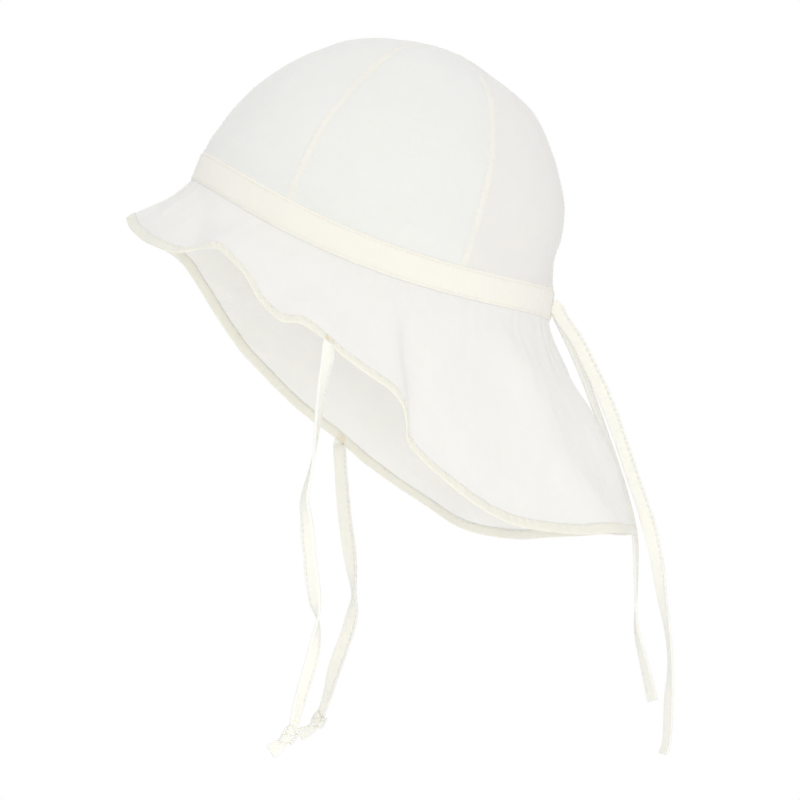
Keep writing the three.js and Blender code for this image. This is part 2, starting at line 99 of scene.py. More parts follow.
class Ripples:
    """Smooth random height over space: waves of wavelengths between low and high, from a fixed seed."""

    def __init__(self, seed, low, high, count=18):
        rng = np.random.default_rng(seed)
        ways = unit(rng.normal(size=(count, 3)))
        self.k = ways * (2 * math.pi / rng.uniform(low, high, count))[:, None]
        self.phase = rng.uniform(0, 2 * math.pi, count)

    def __call__(self, points):
        return np.sin(points @ self.k.T + self.phase).sum(-1) / math.sqrt(len(self.phase) / 2)


# The hat's own axes, leaning back in the upright frame
TILT = math.radians(22.3)
BACK = np.array([0, math.cos(TILT), -math.sin(TILT)])
LEFT = np.array([1.0, 0, 0])
UP = np.array([0, math.sin(TILT), math.cos(TILT)])


def place(back, left, up):
    return back[..., None] * BACK + left[..., None] * LEFT + up[..., None] * UP


# Sizes shared with the solids
HALF_LENGTH, HALF_WIDTH, CROWN_HEIGHT = 83.0, 71.0, 88.0
CROWN_INSET, PANEL_PUFF = 0.6, 0.9
BACK_TUCK = {"depth": 4.6, "height": 18.0, "reach": 15.0}
BAND_HEIGHT, BAND_DIP, BAND_REST, BAND_PITCH = 13.6, 13.0, 0.65, 1.25
BAND_LEAN = {"depth": 3.4, "centre": 180.0, "reach": 30.0}
FLAP_SWELL = {"depth": 4.6, "centre": 180.0, "reach": 32.0}
HEM_WIDTH, GAP = 4.8, 0.3
TAPE_WIDTH = 6.0

# Sizes of the real cloth, thinner than its solids
CLOTH_THICK, HEM_THICK, BAND_THICK, SEAM_WIDTH = 0.5, 1.15, 1.5, 3.8

# Seams of the crown: degrees round the hat at the band and at the top
SEAMS = [(0, 0), (63, 60), (120, 120), (180, 180), (240, 240), (297, 300), (360, 360)]
PANELS = ["front_left", "left", "back_left", "back_right", "right", "front_right"]

# Free edge of the brim: angle, out, along, drop
EDGE = np.array([
    (0, 19.5, 0.0, 25.8), (15, 19.0, 0.0, 29.7), (30, 20.0, 2.2, 32.0), (40, 21.5, 4.1, 31.3),
    (46, 24.0, 2.8, 27.7), (52, 27.0, 3.4, 21.7), (58, 30.0, 4.1, 20.1), (65, 34.0, 5.7, 24.7),
    (72, 37.0, 6.7, 33.5), (78, 41.0, 5.2, 37.4), (84, 44.0, 3.4, 35.4), (96, 47.5, 0.0, 41.8),
    (106, 45.7, 0.6, 49.6), (110, 46.5, 0.7, 55.5), (113, 51.0, 0.2, 63.6), (118, 55.0, -1.4, 71.2),
    (126, 56.5, -0.4, 80.1), (136, 57.8, 0.2, 85.1), (150, 61.5, -2.6, 84.0), (165, 66.5, -1.0, 77.4),
    (180, 72.0, 0.0, 69.9), (208, 63.0, 2.0, 77.0), (220, 60.0, 0.0, 82.2), (230, 55.0, -0.8, 83.8),
    (241, 47.5, 0.0, 77.5), (252, 35.0, 0.7, 70.7), (262, 27.5, 0.7, 62.8), (274, 23.5, 1.2, 56.0),
    (288, 20.5, 2.0, 46.6), (300, 20.0, 2.5, 36.9), (308, 20.5, 2.9, 30.2), (317, 23.0, 3.0, 23.5),
    (330, 22.5, 0.8, 24.2), (345, 20.5, 0.0, 25.6),
], float)

# Folds of the brim: angle at the band, at the edge, start, height, half width
FOLDS = [
    (31, 51, 0.05, -2.2, 4.5),
    (138, 164.5, -0.2, 4.7, 6.6),
    (151, 178, 0.1, -1.3, 5.0),
    (222, 199, 0.1, 2.2, 10.0),
    (283, 291, 0.35, -1.5, 3.5),
    (256, 250, 0.3, 1.4, 5.0),
]
FOLD_FOOT, FOLD_GROWTH = 0.14, 0.6
PLEAT = {
    "top": 103.3, "edge": 111.3, "start": 0.15, "grown": 0.35,
    "step": -2.6, "sink": 1.2, "reach": 9.0, "width": 1.9,
}
BRIM_CURVE = 0.3

# Routes of the tapes, the same points as the solids: x, y, z, turn, wide, thick
ROUTES = {
    "tie_chin_left": [
        (112.8, -19.1, -53.8, -12, 6.0, 1.0), (116.6, -20.2, -57.1, -12, 6.0, 1.0),
        (117.6, -19.4, -61.0, -26, 6.0, 1.0), (117.0, -21.1, -70.1, -46, 6.0, 1.0),
        (116.0, -23.4, -86.8, -70, 6.0, 1.0), (115.0, -25.4, -103.4, -94, 6.0, 1.0),
        (114.0, -28.9, -119.2, -120, 6.0, 1.0), (114.0, -28.3, -126.8, -142, 6.0, 1.0),
        (114.0, -27.5, -136.8, -164, 6.0, 1.0), (113.8, -25.6, -154.3, -162, 6.0, 1.0),
        (113.5, -24.6, -162.6, -140, 6.0, 1.0), (113.2, -23.4, -169.7, -92, 6.0, 1.0),
        (113.0, -24.1, -177.2, -55, 6.0, 1.0), (112.6, -25.4, -184.7, -30, 6.0, 1.0),
        (112.2, -27.3, -191.7, -18, 6.0, 1.0), (111.5, -31.2, -205.0, -44, 6.0, 1.0),
        (111.2, -32.5, -210.4, -40, 5.2, 1.3), (111.0, -33.5, -214.6, -30, 4.4, 2.4),
        (111.0, -35.2, -218.3, -25, 7.2, 4.6), (111.2, -37.5, -220.8, -20, 4.8, 2.2),
        (111.6, -39.9, -222.9, -15, 5.6, 1.2), (112.0, -43.1, -225.0, -10, 6.2, 1.0),
    ],
    "tie_chin_right": [
        (-94.1, -15.1, -79.0, 0, 6.0, 1.0), (-96.4, -16.9, -83.9, 0, 6.0, 1.0),
        (-97.2, -16.2, -86.4, 4, 6.0, 1.0), (-97.0, -15.3, -99.4, 4, 6.0, 1.0),
        (-96.8, -13.7, -117.4, 0, 6.0, 1.0), (-96.5, -12.4, -126.8, 8, 6.0, 1.0),
        (-96.2, -11.2, -135.8, 30, 6.0, 1.0), (-96.0, -10.2, -144.3, 58, 6.0, 1.0),
        (-96.0, -9.7, -151.4, 74, 6.0, 1.0), (-95.8, -10.2, -158.1, 38, 6.0, 1.0),
        (-95.6, -11.9, -165.3, 8, 6.0, 1.0), (-95.3, -14.3, -172.5, 0, 6.0, 1.0),
        (-95.0, -16.7, -179.2, 8, 6.0, 1.0), (-94.6, -19.0, -186.3, 26, 6.0, 1.0),
        (-94.2, -20.8, -193.5, 42, 6.0, 1.0), (-94.0, -22.6, -199.3, 40, 5.0, 1.4),
        (-93.8, -24.2, -203.3, 30, 4.4, 2.4), (-93.6, -25.5, -207.3, 20, 7.2, 4.6),
        (-93.6, -28.2, -210.4, 10, 4.8, 2.2), (-93.8, -30.9, -212.0, 5, 5.6, 1.2),
        (-94.0, -34.0, -213.3, 0, 6.2, 1.0),
    ],
    "tie_back_left": [
        (4.5, 78.05, -30.95, 0, 6.0, 1.0), (4.6, 79.6, -31.7, 0, 6.0, 1.0),
        (4.7, 81.2, -35.2, 0, 6.0, 1.0), (5.0, 87.8, -45.0, 0, 6.0, 1.0),
        (5.4, 93.0, -55.5, 0, 6.0, 1.0), (5.8, 98.4, -66.8, 0, 6.0, 1.0),
        (6.0, 103.1, -78.5, 0, 6.0, 1.0), (6.0, 107.6, -91.6, 0, 6.0, 1.0),
        (6.0, 111.9, -104.6, 0, 6.0, 1.0), (6.0, 116.6, -118.4, 0, 6.0, 1.0),
        (6.0, 120.1, -131.4, 6, 6.0, 1.0), (6.0, 122.5, -143.5, 26, 6.0, 1.0),
        (6.0, 124.4, -157.4, 50, 6.0, 1.0), (6.0, 126.7, -171.2, 72, 6.0, 1.0),
        (5.8, 127.7, -185.5, 76, 6.0, 1.0), (5.4, 126.9, -201.4, 56, 6.0, 1.0),
        (5.0, 126.1, -217.8, 56, 6.0, 1.0), (5.0, 124.4, -223.9, 58, 6.0, 1.0),
    ],
    "tie_back_right": [
        (-4.5, 78.05, -30.95, 0, 6.0, 1.0), (-4.8, 79.6, -31.7, -2, 6.0, 1.0),
        (-5.6, 80.9, -34.9, -6, 6.0, 1.0), (-8.8, 86.2, -46.5, -36, 6.0, 1.0),
        (-12.3, 91.1, -59.0, -56, 6.0, 1.0), (-15.9, 95.9, -71.8, -62, 6.0, 1.0),
        (-19.4, 100.8, -84.7, -64, 6.0, 1.0), (-22.9, 105.7, -98.5, -66, 6.0, 1.0),
        (-26.5, 110.4, -113.2, -68, 6.0, 1.0), (-29.4, 113.6, -127.9, -70, 6.0, 1.0),
        (-30.0, 114.1, -143.7, -76, 6.0, 1.0), (-30.0, 114.0, -160.3, -90, 6.0, 1.0),
        (-30.0, 114.2, -167.3, -102, 6.0, 1.0), (-30.0, 115.4, -174.3, -112, 6.0, 1.0),
        (-30.0, 118.5, -187.4, -126, 6.0, 1.0), (-30.0, 121.2, -200.1, -134, 6.0, 1.0),
    ],
}

# Materials


class Nodes:
    """Short names for building a node material."""

    def __init__(self, name):
        self.material = bpy.data.materials.new(name)
        self.material.use_nodes = True
        self.tree = self.material.node_tree
        self.shader = self.tree.nodes["Principled BSDF"]
        self.output = self.tree.nodes["Material Output"]

    def add(self, kind, **values):
        node = self.tree.nodes.new(kind)
        for key, value in values.items():
            setattr(node, key, value)
        return node

    def link(self, source, target):
        self.tree.links.new(source, target)

    def set(self, values):
        for socket, value in values.items():
            self.shader.inputs[socket].default_value = value

    def math(self, operation, a, b=None):
        node = self.add("ShaderNodeMath", operation=operation)
        for socket, value in ((0, a), (1, b)):
            if value is None:
                continue
            if isinstance(value, (int, float)):
                node.inputs[socket].default_value = value
            else:
                self.link(value, node.inputs[socket])
        return node.outputs[0]

    def mix(self, factor, a, b):
        node = self.add("ShaderNodeMix", data_type="RGBA")
        for socket, value in ((0, factor), (6, a), (7, b)):
            if isinstance(value, (tuple, float, int)):
                node.inputs[socket].default_value = value
            else:
                self.link(value, node.inputs[socket])
        return node.outputs[2]

    def noise(self, vector, scale, detail, roughness):
        node = self.add("ShaderNodeTexNoise")
        node.inputs["Scale"].default_value = scale
        node.inputs["Detail"].default_value = detail
        node.inputs["Roughness"].default_value = roughness
        self.link(vector, node.inputs["Vector"])
        return node.outputs["Fac"]

    def bump(self, height, strength, distance, before=None):
        node = self.add("ShaderNodeBump")
        node.inputs["Strength"].default_value = strength
        node.inputs["Distance"].default_value = distance
        self.link(height, node.inputs["Height"])
        if before is not None:
            self.link(before, node.inputs["Normal"])
        return node.outputs["Normal"]


# Woven cloth: pitch and bump depths in metres, noises as scale per metre, detail and roughness
YARN_PITCH, WEAVE_DEPTH = 0.00046, 0.8
WANDER_NOISE, WANDER_YARNS = (55.0, 2.0, 0.5), 2.2
CROSSING_DIP = 0.45
SLUB_ACROSS, SLUB_ALONG, SLUB_RISE, SLUB_NOISE = 1500.0, 40.0, 0.7, (1.0, 2.0, 0.6)
CLOUD_NOISE, FUZZ_NOISE, CREASE_NOISE = (26.0, 3.0, 0.55), (1400.0, 2.0, 0.6), (95.0, 4.0, 0.55)
# Painted shade: the base colour darkens towards a deeper tone in the hollows between the yarns.
GAP_SHADE, GAP_SHADE_TONE = 0.16, 0.72
ROUGH_LEAST, ROUGH_SPREAD = 0.8, 0.12
CREASE_BUMP, CREASE_DEPTH = 0.5, 0.0012
YARN_BUMP, YARN_DEPTH = 0.55, 0.00012
COTTON_SHADER = {
    "Specular IOR Level": 0.18, "Sheen Roughness": 0.45,
    "Subsurface Weight": 1.0, "Subsurface Radius": (1.0, 0.97, 0.88),
}


def cloth_material(name, light, deep, crumple, reach, sheen):
    """Plain-woven cotton: yarns over and under, slubs, soft tone changes, painted shade between the yarns
    and fine creases.
    """
    m = Nodes(name)
    uv = m.add("ShaderNodeUVMap", uv_map="weave")
    place_node = m.add("ShaderNodeTexCoord").outputs["Object"]
    split = m.add("ShaderNodeSeparateXYZ")
    m.link(uv.outputs["UV"], split.inputs[0])
    wander = m.noise(uv.outputs["UV"], *WANDER_NOISE)
    wander = m.math("MULTIPLY", wander, YARN_PITCH * WANDER_YARNS)
    u = m.math("ADD", split.outputs["X"], wander)
    v = m.math("SUBTRACT", split.outputs["Y"], wander)
    wave_u = m.math("SINE", m.math("MULTIPLY", u, math.pi / YARN_PITCH))
    wave_v = m.math("SINE", m.math("MULTIPLY", v, math.pi / YARN_PITCH))
    yarn_u = m.math("ABSOLUTE", wave_u)
    yarn_v = m.math("ABSOLUTE", wave_v)
    over = m.math("GREATER_THAN", m.math("MULTIPLY", wave_u, wave_v), 0.0)
    under = m.math("SUBTRACT", 1.0, over)
    lift_v = m.math("ADD", m.math("MULTIPLY", yarn_v, CROSSING_DIP), 1 - CROSSING_DIP)
    lift_u = m.math("ADD", m.math("MULTIPLY", yarn_u, CROSSING_DIP), 1 - CROSSING_DIP)
    first = m.math("MULTIPLY", yarn_u, lift_v)
    second = m.math("MULTIPLY", yarn_v, lift_u)
    height = m.math("ADD", m.math("MULTIPLY", first, over), m.math("MULTIPLY", second, under))
    streaks = []
    for across, along in ((SLUB_ACROSS, SLUB_ALONG), (SLUB_ALONG, SLUB_ACROSS)):
        mapping = m.add("ShaderNodeMapping")
        mapping.inputs["Scale"].default_value = (across, along, 1.0)
        m.link(uv.outputs["UV"], mapping.inputs["Vector"])
        streaks.append(m.noise(mapping.outputs["Vector"], *SLUB_NOISE))
    slub = m.math("MULTIPLY", m.math("ADD", streaks[0], streaks[1]), 0.5)
    cloud = m.noise(place_node, *CLOUD_NOISE)
    tone = m.math("ADD", m.math("MULTIPLY", slub, 0.5), m.math("MULTIPLY", cloud, 0.5))
    base = m.mix(tone, deep, light)
    # Painted shade in the gaps between the yarns.
    painted_gap_shade = m.math("MULTIPLY", m.math("SUBTRACT", 1.0, height), GAP_SHADE * WEAVE_DEPTH)
    gap_shade_colour = tuple(c * GAP_SHADE_TONE for c in deep[:3]) + (1.0,)
    m.link(m.mix(painted_gap_shade, base, gap_shade_colour), m.shader.inputs["Base Color"])
    fuzz = m.noise(place_node, *FUZZ_NOISE)
    rough = m.math("ADD", m.math("MULTIPLY", fuzz, ROUGH_SPREAD), ROUGH_LEAST)
    m.link(rough, m.shader.inputs["Roughness"])
    creases = m.noise(place_node, *CREASE_NOISE)
    soft = m.bump(creases, CREASE_BUMP * crumple, CREASE_DEPTH)
    relief = m.math("ADD", height, m.math("MULTIPLY", slub, SLUB_RISE))
    m.link(m.bump(relief, YARN_BUMP * WEAVE_DEPTH, YARN_DEPTH, soft), m.shader.inputs["Normal"])
    m.set(COTTON_SHADER)
    m.set({"Sheen Weight": sheen, "Sheen Tint": light, "Subsurface Scale": reach})
    return m.material


PLY_SCALE, PLY_WANDER, PLY_BUMP, PLY_DEPTH = 900.0, 1.5, 0.5, 0.0001
THREAD_SHADER = {"Roughness": 0.55, "Sheen Weight": 0.15, "Sheen Roughness": 0.4}


def thread_material(name, light, deep):
    """Twisted sewing thread: slanting plies and a soft shine."""
    m = Nodes(name)
    place_node = m.add("ShaderNodeTexCoord").outputs["Object"]
    plies = m.add("ShaderNodeTexWave", wave_type="BANDS", bands_direction="DIAGONAL")
    plies.inputs["Scale"].default_value = PLY_SCALE
    plies.inputs["Distortion"].default_value = PLY_WANDER
    m.link(place_node, plies.inputs["Vector"])
    m.link(m.mix(plies.outputs["Fac"], deep, light), m.shader.inputs["Base Color"])
    m.link(m.bump(plies.outputs["Fac"], PLY_BUMP, PLY_DEPTH), m.shader.inputs["Normal"])
    m.set(THREAD_SHADER)
    return m.material


# Crown, its back panels, brim, seam strips, band, hem, tapes and knots:
# light tone, deep tone, crumple, reach of the light, sheen
CLOTH_TONES = {
    "cotton_crown": ((0.878, 0.885, 0.857, 1), (0.842, 0.845, 0.811, 1), 0.8, 0.0002, 0.12),
    # The back panels take a darker, warmer copy of the crown cloth: painted shade.
    "cotton_crown_back_painted_shade": ((0.875, 0.861, 0.836, 1), (0.838, 0.822, 0.791, 1), 0.8, 0.0002, 0.12),
    "cotton_brim": ((0.864, 0.858, 0.834, 1), (0.828, 0.822, 0.792, 1), 0.8, 0.0009, 0.12),
    "cotton_seamed": ((0.908, 0.896, 0.842, 1), (0.884, 0.868, 0.808, 1), 0.4, 0.0001, 0.12),
    "cotton_folded": ((0.996, 0.926, 0.862, 1), (0.987, 0.892, 0.805, 1), 0.5, 0.0004, 0.12),
    "cotton_hemmed": ((0.890, 0.885, 0.808, 1), (0.870, 0.848, 0.750, 1), 0.5, 0.0004, 0.12),
    "cotton_tape": ((0.908, 0.907, 0.862, 1), (0.890, 0.881, 0.824, 1), 0.35, 0.0009, 0.15),
    # The knots take a lighter copy of the tape cloth: painted light against the shade between the wraps.
    "cotton_knotted_painted_light": ((0.965, 0.945, 0.870, 1), (0.950, 0.920, 0.830, 1), 0.2, 0.0003, 0.15),
}
CROWN_COTTON, PAINTED_SHADE_BACK_COTTON, BRIM_COTTON, SEAMED, FOLDED, HEMMED, TAPE, PAINTED_LIGHT_KNOT_COTTON = (
    cloth_material(name, light, deep, crumple, reach, sheen)
    for name, (light, deep, crumple, reach, sheen) in CLOTH_TONES.items()
)
THREAD = thread_material("sewing_thread", (0.92, 0.895, 0.82, 1), (0.87, 0.84, 0.75, 1))
# The bar-tack thread's orange tone is painted warm shade at the tie joints.
PAINTED_SHADE_TACK_THREAD = thread_material("tacking_thread_painted_shade", (0.93, 0.74, 0.42, 1), (0.86, 0.62, 0.30, 1))


# Meshes


def finish_mesh(name, points, faces, material, uv=None, body="root"):
    mesh = bpy.data.meshes.new(name)
    mesh.from_pydata((np.asarray(points) * MM).tolist(), [], faces)
    mesh.update()
    mesh.polygons.foreach_set("use_smooth", [True] * len(mesh.polygons))
    if uv is not None:
        layer = mesh.uv_layers.new(name="weave")
        layer.data.foreach_set("uv", (np.asarray(uv, float) * MM).ravel())
    mesh.materials.append(material)
    made = bpy.data.objects.new(name, mesh)
    bpy.context.scene.collection.objects.link(made)
    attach(made, body)
    return made


def tube_mesh(name, rings, marks, material, closed_along, caps=True):
    """A closed skin from rings[i, j] of points, with j round the section; marks are its weave positions."""
    count, sides = rings.shape[:2]
    last = count if closed_along else count - 1
    faces, uv = [], []
    for i in range(last):
        for j in range(sides):
            a, b = i * sides + j, i * sides + (j + 1) % sides
            c, d = ((i + 1) % count) * sides + (j + 1) % sides, ((i + 1) % count) * sides + j
            faces.append((a, b, c, d))
            uv += [marks[i, j], marks[i, j + 1], marks[i + 1, j + 1], marks[i + 1, j]]
    if caps and not closed_along:
        faces.append(tuple(range(sides))[::-1])
        uv += [marks[0, j] for j in range(sides)][::-1]
        end = (count - 1) * sides
        faces.append(tuple(range(end, end + sides)))
        uv += [marks[count - 1, j] for j in range(sides)]
    return finish_mesh(name, rings.reshape(-1, 3), faces, material, uv)


def marks_for(rings, closed_along):
    """Weave positions in millimetres along and round a skin of rings."""
    count, sides = rings.shape[:2]
    wrapped = np.concatenate([rings, rings[:, :1]], 1)
    round_it = np.linalg.norm(np.diff(wrapped, axis=1), axis=-1).mean(0)
    across = np.concatenate([[0], np.cumsum(round_it)])
    ends = np.concatenate([rings, rings[:1]], 0) if closed_along else rings
    step = np.linalg.norm(np.diff(ends.mean(1), axis=0), axis=-1)
    along = np.concatenate([[0], np.cumsum(step)])
    if not closed_along:
        along = along[:count]
    return np.stack(np.meshgrid(along, across, indexing="ij"), -1)


def closed(points):
    return np.concatenate([points, points[:1]])


def shell_rings(middle, out, thick):
    """Rings of a thin shell from columns of middle points: down the outside and back up the inside."""
    half = np.asarray(thick)[..., None] / 2
    return np.concatenate([middle + out * half, (middle - out * half)[:, ::-1]], 1)


# Crown


def band_lift(angle):
    c, s = np.cos(np.radians(angle)), np.sin(np.radians(angle))
    return BAND_REST - BAND_PITCH * c - BAND_DIP * s * s


def band_normal(angle):
    c, s = np.cos(np.radians(angle)), np.sin(np.radians(angle))
    n = unit(np.stack([-c / HALF_LENGTH, s / HALF_WIDTH], -1))
    return n[..., 0], n[..., 1]


def band_place(angle, height, reach):
    """A point standing reach outside the middle of the band, at a height from its middle line."""
    nx, ny = band_normal(angle)
    share = bump(turn_from(angle, BAND_LEAN["centre"]) / BAND_LEAN["reach"])
    level = reach - BAND_LEAN["depth"] * share * (height + BAND_HEIGHT / 2) / BAND_HEIGHT
    back = -HALF_LENGTH * np.cos(np.radians(angle)) + nx * level
    left = HALF_WIDTH * np.sin(np.radians(angle)) + ny * level
    return place(back, left, band_lift(angle) + height)


CROWN_DENTS = Ripples(11, 30, 70)
CROWN_CREASES = Ripples(12, 7, 17)
CROWN_DENT_DEPTH, CROWN_CREASE_DEPTH, DENTS_FROM = 0.55, 0.08, 12.0
BLOUSE = {"depth": 0.8, "height": 7.0, "reach": 5.0, "centre": 70.0, "spread": 55.0, "least": 0.45}
CROWN_PULL = {"count": 96, "depth": 0.4, "fade": 8.0, "reach": 40.0, "least": 0.2}
PUCKER = {"depth": 0.10, "wave": 2.6, "slant": 15.0, "fade": 4.5}
PUFF_START, PUFF_SPAN, PANEL_WIDE = 0.1, 1.7, 75
LOW_SLOPE, TOP_SLOPE = -0.5, 1.57
FOOT_TUCK, FOOT_REACH, FOOT_RISE = 3.0, -0.12, 3.2
BEHIND = 180


def crown_surface(angle, slope, share):
    """Middle of the crown cloth and its outward direction, creases left out."""
    c, s = np.cos(np.radians(angle)), np.sin(np.radians(angle))
    ring = np.where(slope > 0, np.cos(slope), 1.0)
    up = np.where(slope > 0, CROWN_HEIGHT * np.sin(slope), CROWN_HEIGHT * slope)
    up_share = np.clip((slope + PUFF_START) / PUFF_SPAN, 0, 1)
    puff = PANEL_PUFF * np.sin(math.pi * share) * np.sin(math.pi * up_share)
    behind = np.maximum(0, -c) ** 3
    tuck = BACK_TUCK["depth"] * bump((up - BACK_TUCK["height"]) / BACK_TUCK["reach"]) * behind
    rise = np.maximum(0, up) / CROWN_HEIGHT ** 2
    out = unit(np.stack([-c * ring / HALF_LENGTH, s * ring / HALF_WIDTH, rise], -1))
    grow = puff - tuck - CROWN_INSET
    back = -HALF_LENGTH * ring * c + out[..., 0] * grow
    left = HALF_WIDTH * ring * s + out[..., 1] * grow
    middle = place(back, left, up + out[..., 2] * (grow + tuck))
    return middle, place(out[..., 0], out[..., 1], out[..., 2])


# What makes the gathers uneven: waves round the hat, phase and share
DRIFTS = [(7, 1.3, 1.4), (17, 0.4, 0.9)]
SWELLING = {"count": 11, "phase": 2.1, "share": 0.25}


def gather_wave(angle, count):
    """Uneven puckers round the band."""
    a = np.radians(angle)
    turn = a * count
    for waves, phase, share in DRIFTS:
        turn = turn + share * np.sin(a * waves + phase)
    swelling = SWELLING["share"] * np.sin(a * SWELLING["count"] + SWELLING["phase"])
    return np.sin(turn) * (1 - SWELLING["share"] + swelling)


def crown_cloth(angle, slope, share):
    """The crown with its dents, the gathers over the band and the puckers beside the seams."""
    middle, out = crown_surface(angle, slope, share)
    level = CROWN_HEIGHT * np.sin(np.clip(slope, LOW_SLOPE, TOP_SLOPE))
    above = level - (band_lift(angle) + BAND_HEIGHT / 2)
    behind = at_least(CROWN_PULL["least"], bump(turn_from(angle, BEHIND) / CROWN_PULL["reach"]))
    fade = np.exp(-np.maximum(above, 0) / CROWN_PULL["fade"])
    pull = gather_wave(angle, CROWN_PULL["count"]) * behind * fade * CROWN_PULL["depth"]
    side = np.minimum(share, 1 - share) * PANEL_WIDE
    slant = above / PUCKER["wave"] + side / PUCKER["slant"]
    pucker = np.sin(slant) * np.exp(-side / PUCKER["fade"]) * PUCKER["depth"]
    spread = bump(turn_from(angle, BLOUSE["centre"]) / BLOUSE["spread"])
    blouse = BLOUSE["depth"] * bump((above - BLOUSE["height"]) / BLOUSE["reach"])
    blouse = blouse * at_least(BLOUSE["least"], spread)
    height = CROWN_DENTS(middle) * CROWN_DENT_DEPTH + CROWN_CREASES(middle) * CROWN_CREASE_DEPTH
    middle = middle + out * (pull + pucker + blouse + height * smooth(above / DENTS_FROM))[..., None]
    foot = band_place(angle, above + BAND_HEIGHT / 2, FOOT_REACH)
    return lerp(middle, foot, smooth((FOOT_RISE - above) / FOOT_RISE)[..., None]), out


CROWN_TOP = math.radians(89.92)
SEAM_LAP = 1.7
CROWN_RADIUS, TOP_RADIUS, TURN_SLOPE = 77, 6, 1.5
GORE = {"columns": 64, "rows": 96, "crowd": 0.92, "width": 78, "height": 125}


def seam_angle(index, t):
    return lerp(SEAMS[index][0], SEAMS[index][1], t)


def foot_slope(angle):
    foot = (band_lift(angle) + BAND_HEIGHT / 2 - FOOT_TUCK) / CROWN_HEIGHT
    return np.where(foot > 0, np.arcsin(np.clip(foot, 0, 1)), foot)


def turn_for(slope, distance):
    """Degrees round the crown that a sideways distance makes at a slope."""
    radius = np.maximum(CROWN_RADIUS * np.cos(np.clip(slope, 0, TURN_SLOPE)), TOP_RADIUS)
    return np.degrees(distance / radius)


def make_gore(index):
    """One crown panel, lapping under the seam strips at both sides."""
    rows = np.linspace(0, 1, GORE["rows"]) ** GORE["crowd"]
    share, t = np.meshgrid(np.linspace(0, 1, GORE["columns"]), rows, indexing="ij")
    first, final = seam_angle(index, t), seam_angle(index + 1, t)
    plain = lerp(first, final, share)
    slope = lerp(foot_slope(plain), CROWN_TOP, t)
    lap = turn_for(slope, SEAM_LAP)
    angle = lerp(first - lap, final + lap, share)
    inner_share = np.clip((angle - first) / (final - first), 0, 1)
    middle, out = crown_cloth(angle, slope, inner_share)
    rings = shell_rings(middle, out, np.full(share.shape, CLOTH_THICK))
    width = (share - 0.5) * GORE["width"] * np.cos(np.clip(slope, 0, TOP_SLOPE))
    marks = np.stack([width, t * GORE["height"]], -1)
    marks = np.concatenate([marks, marks[:, ::-1], marks[:, :1]], 1)
    name = f"gore_{PANELS[index]}"
    # The back panels get the darker copy of the crown cloth, which is painted shade.
    cotton = PAINTED_SHADE_BACK_COTTON if "back" in name else CROWN_COTTON
    gore = tube_mesh(name, rings, marks, cotton, False)
    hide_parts(f"crown_panel_{PANELS[index]}")


# Flat-felled seams of the crown: a raised strip with rolled edges and two stitch rows
STITCHES, TACKS = [], []
STITCH_ROWS = 1.15
THREAD_RADIUS = 0.17
FIRST_STITCH, STITCH_POINTS = 0.3, 5
SEAM_ROPE, SEAM_ROPE_TURN, SEAM_THREAD = 0.03, 0.9, 0.34


def stitch_row(points, out, pitch=2.5, length=1.75, kept=STITCHES):
    """Keeps a row of stitches along points for a thread mesh."""
    step = np.linalg.norm(np.diff(points, axis=0), axis=1)
    run = np.concatenate([[0], np.cumsum(step)])
    starts = np.arange(pitch * FIRST_STITCH, run[-1] - length, pitch)
    shares = np.linspace(0, 1, STITCH_POINTS)
    at = starts[:, None] + shares * length
    centre = np.stack([np.interp(at, run, points[:, k]) for k in range(3)], -1)
    normal = unit(np.stack([np.interp(at, run, out[:, k]) for k in range(3)], -1))
    kept.append((centre, normal))


def seam_line(index, offset, count):
    """Points on the crown along a seam, offset sideways in millimetres."""
    t = np.linspace(0, 1, count)
    angle = seam_angle(index, t)
    slope = lerp(foot_slope(angle), CROWN_TOP, t)
    return crown_cloth(angle + turn_for(slope, offset), slope, np.zeros(count))


# Section of a seam strip: across as a share of its width, height over the cloth's middle
SEAM_SECTION = [
    (-0.5, 0.2), (-0.47, 0.31), (-0.4, 0.38), (-0.3, 0.36), (-0.18, 0.40), (0.0, 0.42),
    (0.18, 0.40), (0.3, 0.36), (0.4, 0.38), (0.47, 0.31), (0.5, 0.2), (0.47, -0.31), (0.3, -0.37),
    (0.0, -0.39), (-0.3, -0.37), (-0.47, -0.31),
]
SEAM_STATIONS, SIDE_STOP = 260, 0.985
MIDDLE_LIFT = 0.18


def make_seam(name, index, stop=SIDE_STOP, lift=0.0):
    """One seam strip from the band to the top."""
    count = SEAM_STATIONS
    rings = []
    _, out = seam_line(index, 0.0, count)
    for across, through in SEAM_SECTION:
        line, _ = seam_line(index, across * SEAM_WIDTH, count)
        wave = SEAM_ROPE * np.sin(np.arange(count) * SEAM_ROPE_TURN)
        rings.append(line + out * (through + (lift + wave) * (through > 0))[:, None])
    keep = int(count * stop)
    rings = np.stack(rings, 1)[:keep]
    tube_mesh(name, rings, marks_for(rings, False), SEAMED, False)
    for side in (-STITCH_ROWS, STITCH_ROWS):
        line, _ = seam_line(index, side, count)
        stitch_row((line + out * (SEAM_THREAD + lift))[:keep], out[:keep])


# Band: a folded casing with pinched stitch rows and elastic gathers behind
BAND_ROW, BAND_GROOVE, GROOVE_REACH = 5.3, 0.08, 0.5
BAND_GATHER = {"count": 97, "depth": 0.28, "reach": 25.0, "least": 0.05}
BAND_FINE = {"count": 230, "depth": 0.04, "shift": 3}
BAND_SWAY = {"count": 61, "share": 0.02}
BAND_SQUARE, BAND_PUFF, BAND_EASE = 7, 0.16, 0.45
BAND_COLUMNS, BAND_ROWS, BAND_THREAD = 900, 19, 0.08
BAND_STITCH = (2.4, 1.7)


